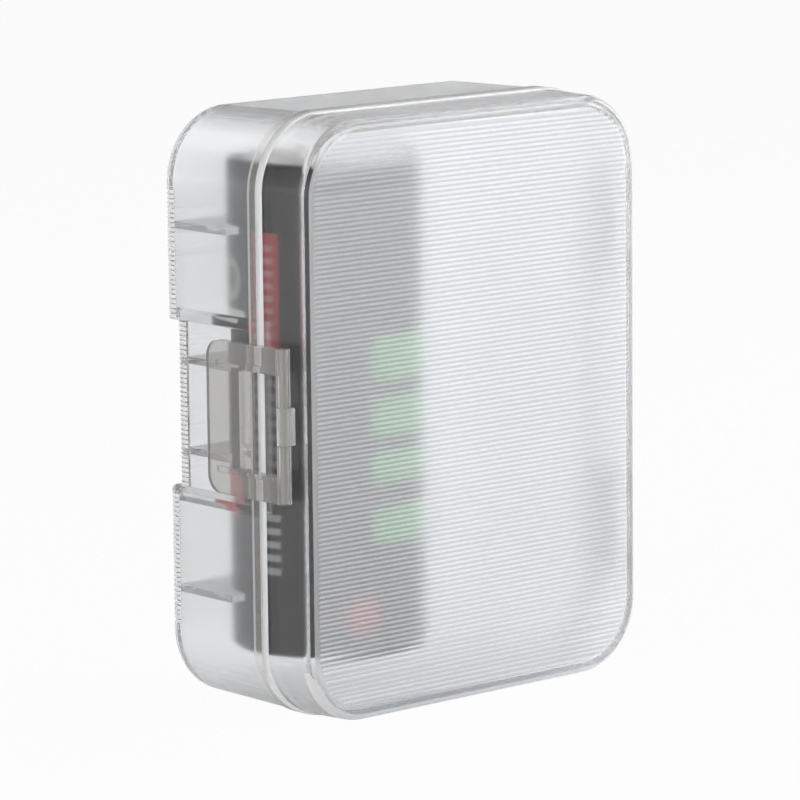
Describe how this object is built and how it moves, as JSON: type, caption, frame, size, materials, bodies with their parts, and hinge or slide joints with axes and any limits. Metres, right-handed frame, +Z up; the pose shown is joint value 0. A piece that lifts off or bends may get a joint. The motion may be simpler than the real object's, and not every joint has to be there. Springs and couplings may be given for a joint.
{
  "type": "battery storage case",
  "caption": "Upright hinged case of clear reeded plastic with round cradles for cylindrical cells, a smoked side latch and a dark wrapped cell inside.",
  "frame": {"origin": "centre of the part's box in plan, at the height of its lowest edge", "axes": "+Z up the case's height, -Y out of the lid's reeded face, -X towards the latch"},
  "size_m": [0.0704, 0.0304, 0.0854],
  "materials": {
    "clear_plastic": "clear injection moulded, fine reeding on the two large faces",
    "smoked_plastic": "smoked translucent, moulded",
    "pin_steel": "drawn wire",
    "cell_sleeve": "printed shrink film",
    "can_steel": "nickel plated, drawn",
    "electrode_foil": "wound foil",
    "gasket_plastic": "moulded",
    "nickel_plate": "nickel plated",
    "fibre_washer": "pressed fibre",
    "circuit_board": "solder mask"
  },
  "bodies": {
    "base": {"base_shell": "clear_plastic", "hinge_pin_lower": "pin_steel", "hinge_pin_upper": "pin_steel", "cell_wrap": "cell_sleeve", "cell_can": "can_steel", "cell_electrode_roll": "electrode_foil", "cell_gasket": "gasket_plastic", "cell_top_cap": "nickel_plate", "cell_top_washer": "fibre_washer", "cell_contact_strip": "nickel_plate", "cell_insulating_disc": "fibre_washer", "cell_protection_board": "circuit_board", "cell_negative_plate": "nickel_plate"},
    "lid": {"lid_shell": "clear_plastic", "latch_pin": "pin_steel"},
    "latch": {"latch": "smoked_plastic"}
  },
  "joints": [
    {"name": "lid_hinge", "type": "hinge", "parent": "base", "child": "lid", "pos_m": [0.03328, -0.00545, 0.0427], "axis": [0, 0, 1], "range_deg": [0, 180]},
    {"name": "latch_hinge", "type": "hinge", "parent": "lid", "child": "latch", "pos_m": [-0.03418, -0.01175, 0.0432], "axis": [0, 0, 1], "range_deg": [0, 120]}
  ]
}
